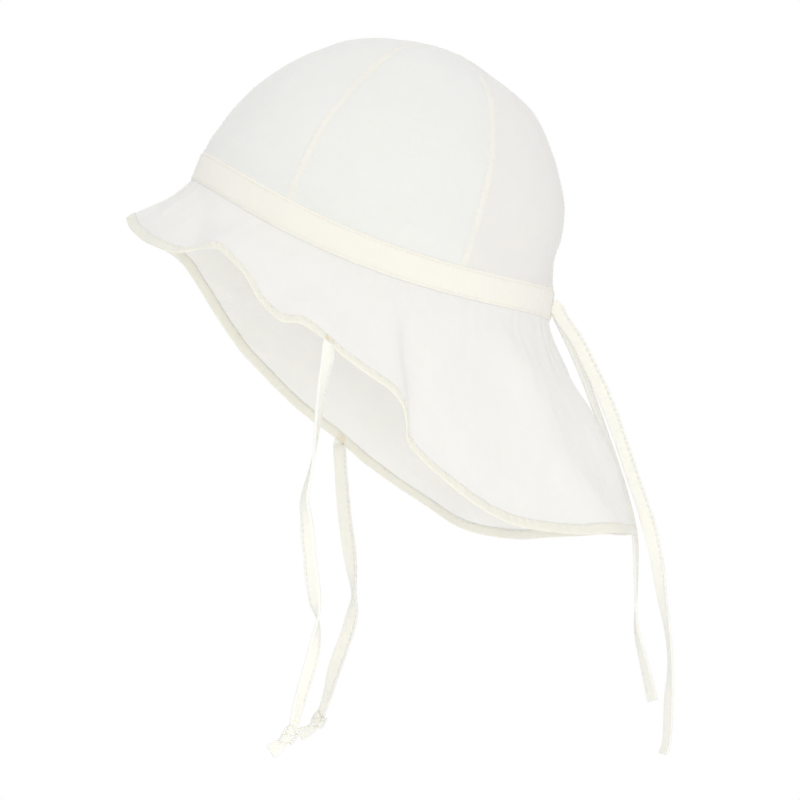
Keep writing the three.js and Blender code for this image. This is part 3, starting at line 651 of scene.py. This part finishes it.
def band_station(angle, height, side):
    """A point of the band's skin: height up its face, side +1 outside and -1 inside."""
    behind = bump(turn_from(angle, BEHIND) / BAND_GATHER["reach"])
    depth = BAND_GATHER["least"] + BAND_GATHER["depth"] * behind
    fine = gather_wave(angle, BAND_GATHER["count"]) * depth
    fine = fine + BAND_FINE["depth"] * gather_wave(angle + BAND_FINE["shift"], BAND_FINE["count"])
    edge = np.abs(height) / (BAND_HEIGHT / 2)
    body = np.sqrt(np.clip(1 - edge ** BAND_SQUARE, 0, 1))
    groove = BAND_GROOVE * bump((np.abs(height) - BAND_ROW) / GROOVE_REACH)
    puff = BAND_PUFF * (1 - edge ** 2)
    deep = (BAND_THICK / 2 * body + puff - groove * body) * side
    ease = at_least(BAND_EASE, edge ** 2)
    rise = height * (1 + BAND_SWAY["share"] * behind * gather_wave(angle, BAND_SWAY["count"]))
    return band_place(angle, rise, fine * ease + deep)


def make_band():
    count = BAND_COLUMNS
    angle = np.arange(count) * 360 / count
    tall = BAND_HEIGHT / 2
    heights = tall * np.sin(np.linspace(-1, 1, BAND_ROWS) * math.pi / 2)
    outer = [band_station(angle, np.full(count, h), 1.0) for h in heights[::-1]]
    inner = [band_station(angle, np.full(count, h), -1.0) for h in heights[1:-1]]
    rings = np.stack(outer + inner, 1)
    band = tube_mesh("band_casing", rings, marks_for(rings, True), FOLDED, True)
    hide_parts("band")
    nx, ny = band_normal(angle)
    level = place(nx, ny, np.zeros(count))
    for height in (-BAND_ROW, BAND_ROW):
        for side in (1.0, -1.0):
            line = band_station(angle, np.full(count, height), side) + level * (BAND_THREAD * side)
            stitch_row(closed(line), closed(level) * side, *BAND_STITCH)


# Join at the centre back: across and height over the band's face, in millimetres
JOIN_SECTION = [
    (-1.7, -0.3), (-1.62, 0.2), (-1.3, 0.36), (-0.4, 0.33),
    (0.5, 0.33), (1.2, 0.36), (1.5, 0.2), (1.6, -0.3),
]
JOIN_ROW, JOIN_STATIONS, JOIN_THREAD, JOIN_PLAIN = 1.15, 41, 0.38, 2


def make_join():
    """The narrow lapped strip that closes the band behind, where the back tapes are sewn in."""
    heights = np.linspace(-0.5, 0.5, JOIN_STATIONS) * BAND_HEIGHT
    rings = []
    for across, through in JOIN_SECTION:
        angle = np.full(len(heights), BEHIND + math.degrees(across / HALF_LENGTH))
        nx, ny = band_normal(angle)
        level = place(nx, ny, np.zeros(len(heights)))
        rings.append(band_station(angle, heights, 1.0) + level * through)
    rings = np.stack(rings, 1)
    tube_mesh("band_join", rings, marks_for(rings, False), FOLDED, False)
    for across in (-JOIN_ROW, JOIN_ROW):
        angle = np.full(len(heights), BEHIND + math.degrees(across / HALF_LENGTH))
        nx, ny = band_normal(angle)
        level = place(nx, ny, np.zeros(len(heights)))
        line = band_station(angle, heights, 1.0) + level * JOIN_THREAD
        stitch_row(line[JOIN_PLAIN:-JOIN_PLAIN], level[JOIN_PLAIN:-JOIN_PLAIN])


# Brim and neck flap


def edge_at(angle):
    """Smooth reading of the edge table all the way round."""
    a = np.mod(angle, 360)
    knots = np.concatenate([EDGE[-2:] - [360, 0, 0, 0], EDGE, EDGE[:2] + [360, 0, 0, 0]])
    k = np.clip(np.searchsorted(knots[:, 0], a, side="right") - 1, 1, len(knots) - 3)
    p, q, r, s = knots[k - 1], knots[k], knots[k + 1], knots[k + 2]
    span = (r[..., 0] - q[..., 0])[..., None]
    t = (a - q[..., 0])[..., None] / span
    into = (r - p) / (r[..., :1] - p[..., :1]) * span
    away = (s - q) / (s[..., :1] - q[..., :1]) * span
    t2, t3 = t * t, t * t * t
    before = (2 * t3 - 3 * t2 + 1) * q + (t3 - 2 * t2 + t) * into
    read = before + (3 * t2 - 2 * t3) * r + (t3 - t2) * away
    return read[..., 1], read[..., 2], read[..., 3]


def fold_height(angle, s):
    height = np.zeros(np.broadcast(angle, s).shape)
    for top, edge, start, rise, reach in FOLDS:
        fade = smooth((s - start) / (1 - start)) ** FOLD_GROWTH * smooth(s / FOLD_FOOT)
        height = height + rise * fade * bump(turn_from(angle, lerp(top, edge, s)) / reach)
    side = turn_from(angle, lerp(PLEAT["top"], PLEAT["edge"], s))
    fade = smooth((s - PLEAT["start"]) / PLEAT["grown"])
    step = PLEAT["step"] * np.tanh(side / PLEAT["width"]) - PLEAT["sink"]
    return height + fade * step * bump(side / PLEAT["reach"])


def brim_plain(angle, s):
    """The brim without its folds, s running from 0 at the band to 1 at the free edge."""
    out, along, drop = edge_at(angle)
    nx, ny = band_normal(angle)
    swell = FLAP_SWELL["depth"] * bump(turn_from(angle, FLAP_SWELL["centre"]) / FLAP_SWELL["reach"])
    stand = out * s * (1 - BRIM_CURVE * (1 - s) ** 3) + swell * (4 * s * (1 - s)) ** 2
    slide = along * s * s
    back = -HALF_LENGTH * np.cos(np.radians(angle)) + nx * stand + ny * slide
    left = HALF_WIDTH * np.sin(np.radians(angle)) + ny * stand - nx * slide
    return place(back, left, band_lift(angle) - BAND_HEIGHT / 2 - GAP - drop * s)


TURN_STEP, DOWN_STEP = 0.4, 0.01


def normal_of(surface, angle, s):
    round_it = surface(angle + TURN_STEP, s) - surface(angle - TURN_STEP, s)
    down = surface(angle, s + DOWN_STEP) - surface(angle, s - DOWN_STEP)
    return unit(np.cross(down, round_it))


BRIM_WAVES = Ripples(21, 26, 60)
BRIM_CREASES = Ripples(22, 6, 15)
BRIM_WAVE_DEPTH, BRIM_CREASE_DEPTH, WAVES_FROM = 0.65, 0.09, 14
BRIM_STEP, STEP_FADE, LEVEL_UNTIL = 0.42, 3, 0.12
BRIM_PULL = {"count": 74, "depth": 0.38, "fade": 11, "from": 2.5, "reach": 65, "least": 0.3}
RUFFLE = {"count": 47, "shift": 40, "depth": 0.22, "below": 14, "reach": 16}


def brim_folded(angle, s):
    return brim_plain(angle, s) + normal_of(brim_plain, angle, s) * fold_height(angle, s)[..., None]


def brim_length(angle):
    out, along, drop = edge_at(angle)
    return np.sqrt(out ** 2 + along ** 2 + drop ** 2)


def brim_cloth(angle, s):
    """Middle of the brim cloth with its waves and the puckers under the band, and its outward direction."""
    middle = brim_folded(angle, s)
    nx, ny = band_normal(angle)
    free = normal_of(brim_folded, angle, s)
    level = place(nx, ny, np.zeros(np.shape(nx)))
    out = unit(lerp(level, free, smooth(s / LEVEL_UNTIL)[..., None]))
    below = brim_length(angle) * np.maximum(s, 0)
    behind = at_least(BRIM_PULL["least"], bump(turn_from(angle, BEHIND) / BRIM_PULL["reach"]))
    pull = gather_wave(angle, BRIM_PULL["count"]) * behind * np.exp(-below / BRIM_PULL["fade"])
    pull = pull * smooth(below / BRIM_PULL["from"]) * BRIM_PULL["depth"]
    ruffle = gather_wave(angle + RUFFLE["shift"], RUFFLE["count"]) * RUFFLE["depth"]
    ruffle = ruffle * bump((below - RUFFLE["below"]) / RUFFLE["reach"])
    waves = BRIM_WAVES(middle) * BRIM_WAVE_DEPTH + BRIM_CREASES(middle) * BRIM_CREASE_DEPTH
    waves = waves * smooth(below / WAVES_FROM)
    step = BRIM_STEP * np.exp(-below / STEP_FADE)
    return middle + out * (pull + ruffle + waves + step)[..., None], out


BRIM_COLUMNS, BRIM_ROWS, BRIM_TUCK, INSIDE_HEM = 860, 54, 2.4, 1.0
MIDDLE_ROW, ROW_PITCH = 25, 1.7
CROWDED = {"centre": 109.0, "reach": 7.0, "more": 2.5, "steps": 3601}


def columns_round(count):
    """Angles round the brim, closer together where the pleat is."""
    fine = np.linspace(0, 360, CROWDED["steps"])
    density = 1 + CROWDED["more"] * bump(turn_from(fine, CROWDED["centre"]) / CROWDED["reach"])
    run = np.concatenate([[0], np.cumsum((density[1:] + density[:-1]) / 2)])
    return np.interp(np.arange(count) * run[-1] / count, run, fine)


def make_brim():
    angle, t = np.meshgrid(columns_round(BRIM_COLUMNS), np.linspace(0, 1, BRIM_ROWS), indexing="ij")
    length = brim_length(angle)
    s = lerp(-BRIM_TUCK / length, 1 - INSIDE_HEM / length, t)
    middle, out = brim_cloth(angle, s)
    rings = shell_rings(middle, out, np.full(t.shape, CLOTH_THICK))
    row = closed(middle)[:, MIDDLE_ROW]
    run = np.concatenate([[0], np.cumsum(np.linalg.norm(np.diff(row, axis=0), axis=-1))])
    down = np.cumsum(np.full(BRIM_ROWS, ROW_PITCH))
    across = np.concatenate([down, down[::-1], [0]])
    marks = np.stack(np.meshgrid(run, across, indexing="ij"), -1)
    brim = tube_mesh("brim_cloth", rings, marks, BRIM_COTTON, True)
    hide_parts("brim")
    return brim


HEM_COLUMNS, HEM_STATIONS, HEM_LONG = 1200, 11, 770
HEM_ROW, HEM_GROOVE, HEM_GROOVE_REACH, HEM_SQUARE, HEM_THREAD = 3.9, 0.05, 0.45, 5, 0.47
HEM_STITCH = (2.5, 1.8)
HEM_ROPE = {"depth": 0.10, "turn": 1.35, "slant": 0.8, "inside": 0.6}
HEM_SWELL = {"depth": 0.06, "turn": 0.61, "phase": 1.1}


def make_hem():
    """The double-folded hem round the free edge, with a stitch row near its inner fold."""
    angle = columns_round(HEM_COLUMNS)
    length = brim_length(angle)
    run = np.interp(angle, [0, 360], [0, HEM_LONG])
    depth = HEM_WIDTH * (0.5 - 0.5 * np.cos(np.linspace(0, 1, HEM_STATIONS) * math.pi))
    outer, inner = [], []
    for d in depth:
        middle, out = brim_cloth(angle, 1 - d / length)
        edge = np.abs(2 * d / HEM_WIDTH - 1)
        body = math.sqrt(max(0.0, 1 - edge ** HEM_SQUARE))
        groove = HEM_GROOVE * bump((d - HEM_ROW) / HEM_GROOVE_REACH)
        rope = HEM_ROPE["depth"] * np.sin(run * HEM_ROPE["turn"] + d * HEM_ROPE["slant"])
        rope = rope + HEM_SWELL["depth"] * np.sin(run * HEM_SWELL["turn"] + HEM_SWELL["phase"])
        half = HEM_THICK / 2 * body
        outer.append(middle + out * (half - groove * body + rope * body)[:, None])
        inner.append(middle - out * (half - groove * body - rope * body * HEM_ROPE["inside"])[:, None])
    rings = np.stack(outer[::-1] + inner[1:-1], 1)
    hem = tube_mesh("brim_hem", rings, marks_for(rings, True), HEMMED, True)
    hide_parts("brim")
    middle, out = brim_cloth(angle, 1 - HEM_ROW / length)
    for side in (1.0, -1.0):
        line = middle + out * (HEM_THREAD * side)
        stitch_row(closed(line), closed(out) * side, *HEM_STITCH)


# Tapes


def between(p, q, r, s, t):
    """A smooth curve through q and r, at a share t of the way."""
    t2, t3 = t * t, t * t * t
    return 0.5 * (2 * q + (r - p) * t + (2 * p - 5 * q + 4 * r - s) * t2 + (3 * q - p - 3 * r + s) * t3)


def route_stations(rows, step):
    """Stations along a route with their twist and section, and the tape's own directions."""
    rows = np.array(rows, float)
    last = len(rows) - 1
    stations = []
    for k in range(last):
        p, q, r, s = rows[max(0, k - 1)], rows[k], rows[k + 1], rows[min(last, k + 2)]
        steps = max(2, math.ceil(np.linalg.norm(r[:3] - q[:3]) / step))
        stations += [between(p, q, r, s, n / steps) for n in range(steps)]
    stations = np.array(stations + [rows[-1]])
    centre = stations[:, :3]
    along = unit(np.gradient(centre, axis=0))
    level = unit(np.cross(LEFT, along))
    side = np.cross(along, level)
    turn = np.radians(stations[:, 3])[:, None]
    across = level * np.cos(turn) + side * np.sin(turn)
    through = np.cross(along, across)
    return centre, across, through, stations[:, 4], stations[:, 5]


# Tape section: across, through, as shares; the fold is at one edge, the stitched lips at the other
TAPE_SECTION = np.array([
    (-0.5, 0.0), (-0.49, 0.34), (-0.45, 0.5), (-0.3, 0.48), (-0.1, 0.44), (0.12, 0.44), (0.26, 0.40),
    (0.33, 0.30), (0.40, 0.42), (0.47, 0.44), (0.5, 0.22), (0.485, 0.03), (0.5, -0.2), (0.47, -0.44),
    (0.40, -0.42), (0.33, -0.30), (0.26, -0.40), (0.12, -0.44), (-0.1, -0.44), (-0.3, -0.48),
    (-0.45, -0.5), (-0.49, -0.34),
])
TAPE_THICK = 1.15
CHIN_SEATS = {"tie_chin_left": 91.0, "tie_chin_right": 261.0}
CHIN_SEWN, CHIN_CLEAR, CHIN_THIN, CHIN_NARROW = 2.8, 1.0, 0.42, 4.8
BACK_START, BACK_BEND = (76.9, -29.2), (79.65, -31.9)
TACK = {"rows": (1.0, 2.2, 3.4), "half": 0.45, "points": 9, "stand": 0.6, "stitch": (1.15, 0.95)}


def tape_rows(name):
    """Rows of a tape's route, its start set inside the hem or the band that holds it."""
    rows = np.array(ROUTES[name], float)
    if name in CHIN_SEATS:
        angle = np.array([CHIN_SEATS[name]])
        length = brim_length(angle)
        rows[0, :3] = brim_cloth(angle, 1 - CHIN_SEWN / length)[0][0]
        rows[1, :3] = brim_cloth(angle, 1 + CHIN_CLEAR / length)[0][0]
        rows[:2, 4] = CHIN_NARROW
        rows[:2, 5] = (CHIN_THIN, 2 * CHIN_THIN)
        return rows
    rows[0, 1:3] = BACK_START
    rows[1, 1:3] = BACK_BEND
    return rows


def bar_tack(name):
    """Three short rows of stitches through the hem where a chin tape is sewn in."""
    angle = CHIN_SEATS[name]
    ends = np.array([angle - 1, angle + 1])
    per_degree = np.linalg.norm(np.diff(brim_cloth(ends, np.ones(2))[0], axis=0)) / 2
    turns = angle + np.linspace(-TACK["half"], TACK["half"], TACK["points"]) * TAPE_WIDTH / per_degree
    for depth in TACK["rows"]:
        middle, out = brim_cloth(turns, 1 - depth / brim_length(turns))
        for side in (1.0, -1.0):
            stitch_row(middle + out * (TACK["stand"] * side), out * side, *TACK["stitch"], TACKS)


# Wraps of an end knot: lean along the tape, place along it, radius across and through
KNOT_WRAPS = [(1.5, -0.7, 2.5, 1.75), (-1.6, 0.8, 2.6, 1.85), (0.7, 0.1, 2.8, 1.5)]
KNOT_SECTION = [
    (-0.5, 0.0), (-0.47, 0.38), (-0.36, 0.5), (-0.15, 0.44), (0.1, 0.47), (0.33, 0.5),
    (0.47, 0.36), (0.5, 0.0), (0.4, -0.35), (0.0, -0.45), (-0.4, -0.35),
]
KNOT_WIDE, KNOT_THICK, KNOT_NARROWING, KNOT_STATIONS = 4.0, 1.25, 0.2, 40
KNOT_FOLD = {"depth": 0.16, "count": 3, "apart": 2.1}


def make_knot(name, centre, across, through, along):
    """A small overhand knot: flat wraps of tape crossing round the pinched tape."""
    turn = np.arange(KNOT_STATIONS) * 2 * math.pi / KNOT_STATIONS
    wraps = []
    for number, (lean, shift, wide, deep) in enumerate(KNOT_WRAPS):
        fold = KNOT_FOLD["depth"] * np.sin(turn * KNOT_FOLD["count"] + number * KNOT_FOLD["apart"])
        c, s = np.cos(turn), np.sin(turn)
        spine = centre + along * (shift + lean * c)[:, None]
        spine = spine + across * ((wide + fold) * c)[:, None] + through * ((deep + fold) * s)[:, None]
        outward = unit(across * (c / wide)[:, None] + through * (s / deep)[:, None])
        way = unit(np.roll(spine, -1, 0) - np.roll(spine, 1, 0))
        edgewise = np.cross(way, outward)
        width = KNOT_WIDE * (1 - KNOT_NARROWING * np.abs(s))
        rings = [
            spine + edgewise * (a * width)[:, None] + outward * (t * KNOT_THICK) for a, t in KNOT_SECTION
        ]
        rings = np.stack(rings, 1)
        # The knot's cloth is the lighter copy of the tape cloth, painted light.
        wrap = tube_mesh(f"{name}_knot_{number + 1}", rings, marks_for(rings, True), PAINTED_LIGHT_KNOT_COTTON, True)
        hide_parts(name)
        wraps.append(wrap)
    return wraps


# Unevenness of a tape: depth or share of its width, millimetres along it for each radian, phase
TAPE_STEP, PINCH_REACH, PINCH_SHARE = 1.2, 3.5, 0.5
CURLS = [(0.16, 13), (0.08, 5.3)]
CURL_PHASE, CURL_LEVEL, CURL_GAIN = 6, 0.1, 1.2
WIDER, NARROWER = (0.02, 4.1, 1), (0.03, 9.7)
TAPE_RIPPLE = {"depth": 0.06, "turn": 1.9, "slant": 6}
TAPE_ROW, TAPE_THREAD, FIRST_SEWN = 0.33, 0.32, 3
TAPE_STITCH = (2.6, 1.8)
SEWN_SHARE = {"knot": 0.86, "bare": 0.99}


def make_tape(name, far_end, seed):
    centre, across, through, wide, thick = route_stations(tape_rows(name), TAPE_STEP)
    wraps = []
    if far_end == "knot":
        middle = int(np.argmax(thick))
        near = bump((np.arange(len(thick)) - middle) / PINCH_REACH)
        wide = np.minimum(wide, TAPE_WIDTH) * (1 - PINCH_SHARE * near)
        thick = np.minimum(thick, 1.0) + near
        along = unit(centre[middle + 1] - centre[middle - 1])
        wraps = make_knot(name, centre[middle], across[middle], through[middle], along)
        bar_tack(name)
    count = len(centre)
    rng = np.random.default_rng(seed)
    run = np.concatenate([[0], np.cumsum(np.linalg.norm(np.diff(centre, axis=0), axis=1))])
    curl = sum(depth * np.sin(run / wave + rng.uniform(0, CURL_PHASE)) for depth, wave in CURLS)
    width = wide * (1 + WIDER[0] * np.sin(run / WIDER[1] + WIDER[2]))
    width = width * (1 - NARROWER[0] * np.sin(run / NARROWER[1]))
    rings = []
    for a, t in TAPE_SECTION:
        cup = curl * (a * a - CURL_LEVEL)
        ripple = TAPE_RIPPLE["depth"] * np.sin(run * TAPE_RIPPLE["turn"] + a * TAPE_RIPPLE["slant"])
        lift = t * TAPE_THICK * thick + (cup + ripple * abs(a)) * CURL_GAIN
        rings.append(centre + across * (a * width)[:, None] + through * lift[:, None])
    rings = np.stack(rings, 1)
    marks = marks_for(rings, False)
    tape = tube_mesh(f"{name}_tape", rings, marks, TAPE, False)
    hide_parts(name)
    plain = int(count * SEWN_SHARE[far_end])
    row = centre + across * (TAPE_ROW * width)[:, None]
    for side in (1.0, -1.0):
        line = row + through * (TAPE_THREAD * TAPE_THICK * side)
        stitch_row(line[FIRST_SEWN:plain], through[FIRST_SEWN:plain] * side, *TAPE_STITCH)


make_tape("tie_chin_left", "knot", 31)
make_tape("tie_chin_right", "knot", 32)
make_tape("tie_back_left", "bare", 33)
make_tape("tie_back_right", "bare", 34)

for number in range(len(PANELS)):
    make_gore(number)
for number in (1, 2, 4, 5):
    make_seam(f"crown_seam_{number}", number)
make_seam("crown_seam_front", 0, stop=1.0, lift=MIDDLE_LIFT)
make_seam("crown_seam_back", 3, stop=1.0, lift=MIDDLE_LIFT)
make_band()
make_join()
brim = make_brim()
make_hem()

# A stitch: radius along it as a share, height in millimetres
STITCH_ENDS = np.array([0.35, 0.95, 1.0, 0.95, 0.35])
STITCH_RISE = np.array([-0.14, 0.03, 0.09, 0.03, -0.14])
THREAD_SIDES = 6


def make_stitches(name, kept, material):
    """The kept stitches as short arched threads."""
    ends, rise, sides = STITCH_ENDS, STITCH_RISE, THREAD_SIDES
    points, faces, start = [], [], 0
    turn = np.arange(sides) * 2 * math.pi / sides
    for centre, normal in kept:
        along = unit(np.gradient(centre, axis=1))
        across = unit(np.cross(normal, along))
        lifted = centre + normal * rise[None, :, None]
        for stitch, n, a in zip(lifted, normal, across):
            ring = stitch[:, None] + THREAD_RADIUS * ends[:, None, None] * (
                n[:, None] * np.cos(turn)[None, :, None] + a[:, None] * np.sin(turn)[None, :, None]
            )
            points.append(ring.reshape(-1, 3))
            for i in range(len(ends) - 1):
                for j in range(sides):
                    a0, b0 = start + i * sides + j, start + i * sides + (j + 1) % sides
                    faces.append((a0, b0, b0 + sides, a0 + sides))
            faces.append(tuple(range(start, start + sides))[::-1])
            top = start + (len(ends) - 1) * sides
            faces.append(tuple(range(top, top + sides)))
            start += sides * len(ends)
    finish_mesh(name, np.concatenate(points), faces, material, None)


make_stitches("stitches", STITCHES, THREAD)
make_stitches("bar_tacks", TACKS, PAINTED_SHADE_TACK_THREAD)

# Floor, light and surroundings
FLOOR_HEIGHT, FLOOR_SIDE, GRAIN_NOISE = -1200.0, 30000.0, (380.0, 3.0, 0.5)
FLOOR_TONES = ((0.95, 0.95, 0.947, 1), (0.975, 0.975, 0.972, 1))
FLOOR_SHADER = {"Roughness": 0.9}


def make_floor():
    mesh = bpy.data.meshes.new("floor")
    side = FLOOR_SIDE * MM
    z = FLOOR_HEIGHT * MM
    corners = [(-side, -side, z), (side, -side, z), (side, side, z), (-side, side, z)]
    mesh.from_pydata(corners, [], [(0, 1, 2, 3)])
    m = Nodes("floor_paper")
    place_node = m.add("ShaderNodeTexCoord").outputs["Object"]
    grain = m.noise(place_node, *GRAIN_NOISE)
    m.link(m.mix(grain, *FLOOR_TONES), m.shader.inputs["Base Color"])
    m.set(FLOOR_SHADER)
    mesh.materials.append(m.material)
    floor = bpy.data.objects.new("floor", mesh)
    bpy.context.scene.collection.objects.link(floor)


# Name, place in metres, size in metres, power in watts; all look at the hat's middle
LIGHTS = [
    ("key", (2.6, 0.0, -0.2), 0.7, 9.8),
    ("low", (1.5, 0.3, -0.5), 0.6, 2.7),
    ("top", (0.0, 0.0, 3.0), 1.5, 10.0),
    ("back", (-3.0, 0.2, 0.6), 1.5, 9.0),
]
LIT_PLACE = (0, 0, -0.07)


def area_light(name, at, size, power):
    data = bpy.data.lights.new(name, "AREA")
    data.shape = "DISK"
    data.size = size
    data.energy = power
    light = bpy.data.objects.new(name, data)
    light.location = at
    way = Vector(LIT_PLACE) - Vector(at)
    light.rotation_euler = way.to_track_quat("-Z", "Y").to_euler()
    light.visible_camera = False
    bpy.context.scene.collection.objects.link(light)


# Strength of the white surroundings as light, and as the camera sees them
AMBIENT, SEEN_WHITE = 0.815, 1.0


def make_world():
    world = bpy.data.worlds.new("studio")
    bpy.context.scene.world = world
    world.use_nodes = True
    tree = world.node_tree
    shine = tree.nodes["Background"]
    path = tree.nodes.new("ShaderNodeLightPath")
    level = tree.nodes.new("ShaderNodeMix")
    level.data_type = "FLOAT"
    level.inputs[2].default_value = AMBIENT
    level.inputs[3].default_value = SEEN_WHITE
    tree.links.new(path.outputs["Is Camera Ray"], level.inputs[0])
    tree.links.new(level.outputs[0], shine.inputs["Strength"])
    shine.inputs["Color"].default_value = (1.0, 1.0, 1.0, 1.0)


make_floor()
make_world()
for light in LIGHTS:
    area_light(*light)
bpy.context.scene.view_settings.view_transform = "Standard"
